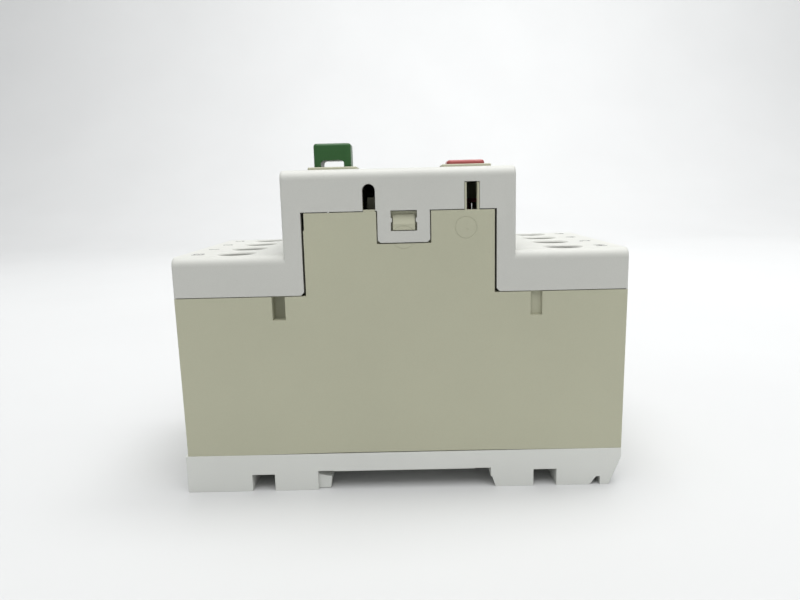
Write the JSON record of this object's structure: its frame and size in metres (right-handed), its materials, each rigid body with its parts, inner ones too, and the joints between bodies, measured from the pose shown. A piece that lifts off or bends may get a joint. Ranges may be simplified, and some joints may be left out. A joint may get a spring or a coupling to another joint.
{
  "type": "motor protection breaker",
  "caption": "Push-button motor protection breaker: stepped rail-mounted housing with start and stop buttons, a current dial, screw terminals and thermal and magnetic trips.",
  "frame": {"origin": "under the middle of the bottom face, on the plane that the feet rest on", "axes": "+X from the line terminals to the load terminals, +Y across the poles, +Z from the rail to the buttons"},
  "size_m": [0.0886, 0.045, 0.0702],
  "materials": {
    "base_plastic": "moulded, light grey",
    "clip_plastic": "moulded, light grey",
    "casing_plastic": "moulded, olive beige",
    "cover_plastic": "moulded, light grey",
    "green_plastic": "moulded, dark green",
    "red_plastic": "moulded, dull red",
    "dial_plastic": "moulded, off-white",
    "black_plastic": "moulded, black",
    "zinc_steel": "zinc plated",
    "spring_steel": "drawn wire",
    "dark_steel": "plain sheet",
    "bimetal_strip": "rolled strip",
    "brass": "stamped strip",
    "copper": "enamelled copper wire"
  },
  "bodies": {
    "housing": {"base": "base_plastic", "base_screws": "zinc_steel", "casing": "casing_plastic", "cover": "cover_plastic", "start_bezel": "casing_plastic", "stop_bezel": "casing_plastic", "mechanism_frame": "zinc_steel", "rocker_pin": "zinc_steel", "carrier_spring": "spring_steel", "aux_line_terminal": "brass", "aux_load_terminal": "brass", "terminal_screws": "zinc_steel", "terminal_clamps": "zinc_steel", "line_terminal_1": "brass", "coil_terminal_1": "brass", "load_terminal_1": "brass", "arc_chute_1": "dark_steel", "trip_coil_1": "copper", "coil_bobbin_1": "black_plastic", "bimetal_1": "bimetal_strip", "heater_winding_1": "bimetal_strip", "pole_partition_1": "casing_plastic", "line_terminal_2": "brass", "coil_terminal_2": "brass", "load_terminal_2": "brass", "arc_chute_2": "dark_steel", "trip_coil_2": "copper", "coil_bobbin_2": "black_plastic", "bimetal_2": "bimetal_strip", "heater_winding_2": "bimetal_strip", "pole_partition_2": "casing_plastic", "line_terminal_3": "brass", "coil_terminal_3": "brass", "load_terminal_3": "brass", "arc_chute_3": "dark_steel", "trip_coil_3": "copper", "coil_bobbin_3": "black_plastic", "bimetal_3": "bimetal_strip", "heater_winding_3": "bimetal_strip", "pole_partition_3": "casing_plastic"},
    "start_button": {"start_button": "green_plastic"},
    "stop_button": {"stop_button": "red_plastic"},
    "rocker": {"rocker": "black_plastic"},
    "contact_carrier": {"contact_carrier": "black_plastic", "aux_contact_bridge": "brass", "aux_contact_spring": "spring_steel", "contact_bridge_1": "brass", "contact_bridge_2": "brass", "contact_bridge_3": "brass", "contact_spring_1": "spring_steel", "contact_spring_2": "spring_steel", "contact_spring_3": "spring_steel"},
    "trip_bar": {"trip_bar": "black_plastic"},
    "latch_lever": {"latch_lever": "zinc_steel"},
    "magnet_plunger_1": {"magnet_plunger_1": "dark_steel"},
    "magnet_plunger_2": {"magnet_plunger_2": "dark_steel"},
    "magnet_plunger_3": {"magnet_plunger_3": "dark_steel"},
    "current_dial": {"current_dial": "dial_plastic"},
    "setting_slide": {"setting_slide": "casing_plastic"},
    "din_clip": {"din_clip": "clip_plastic"}
  },
  "joints": [
    {"name": "start_push", "type": "slide", "parent": "housing", "child": "start_button", "axis": [0, 0, -1], "range_m": [0, 0.0044]},
    {"name": "stop_push", "type": "slide", "parent": "housing", "child": "stop_button", "axis": [0, 0, 1], "range_m": [0, 0.0044]},
    {"name": "rocker_turn", "type": "hinge", "parent": "housing", "child": "rocker", "pos_m": [0, 0, 0.05], "axis": [0, -1, 0], "range_deg": [0, 17.27]},
    {"name": "carrier_travel", "type": "slide", "parent": "housing", "child": "contact_carrier", "axis": [0, 0, -1], "range_m": [0, 0.0022], "stiffness_N_per_m": 150, "springref_m": -0.001, "deforming": ["carrier_spring"]},
    {"name": "trip_bar_turn", "type": "hinge", "parent": "housing", "child": "trip_bar", "pos_m": [0.0152, 0, 0.038], "axis": [0, 1, 0], "range_deg": [0, 12], "stiffness_Nm_per_rad": 0.0005, "springref_deg": -11.46},
    {"name": "latch_release", "type": "hinge", "parent": "housing", "child": "latch_lever", "pos_m": [0.005, 0, 0.0436], "axis": [0, 1, 0], "range_deg": [0, 12]},
    {"name": "plunger_strike_1", "type": "slide", "parent": "housing", "child": "magnet_plunger_1", "axis": [0, 0, 1], "range_m": [0, 0.0015]},
    {"name": "plunger_strike_2", "type": "slide", "parent": "housing", "child": "magnet_plunger_2", "axis": [0, 0, 1], "range_m": [0, 0.0015]},
    {"name": "plunger_strike_3", "type": "slide", "parent": "housing", "child": "magnet_plunger_3", "axis": [0, 0, 1], "range_m": [0, 0.0015]},
    {"name": "dial_turn", "type": "hinge", "parent": "housing", "child": "current_dial", "pos_m": [0, 0, 0.062], "axis": [0, 0, -1], "range_deg": [0, 270]},
    {"name": "setting_travel", "type": "slide", "parent": "housing", "child": "setting_slide", "axis": [1, 0, 0], "range_m": [0, 0.0015]},
    {"name": "clip_pull", "type": "slide", "parent": "housing", "child": "din_clip", "axis": [1, 0, 0], "range_m": [0, 0.003], "stiffness_N_per_m": 500, "springref_m": -0.002}
  ],
  "couplings": [
    {"joint": "stop_push", "follows": "start_push", "ratio": 1},
    {"joint": "rocker_turn", "follows": "start_push", "rad_per_m": 68.49},
    {"joint": "carrier_travel", "follows": "start_push", "ratio": 0.5},
    {"joint": "trip_bar_turn", "follows": "plunger_strike_2", "rad_per_m": 139.6},
    {"joint": "latch_release", "follows": "plunger_strike_2", "rad_per_m": 139.6},
    {"joint": "plunger_strike_1", "follows": "plunger_strike_2", "ratio": 1},
    {"joint": "plunger_strike_3", "follows": "plunger_strike_2", "ratio": 1},
    {"joint": "dial_turn", "follows": "setting_travel", "rad_per_m": 3141.5}
  ]
}
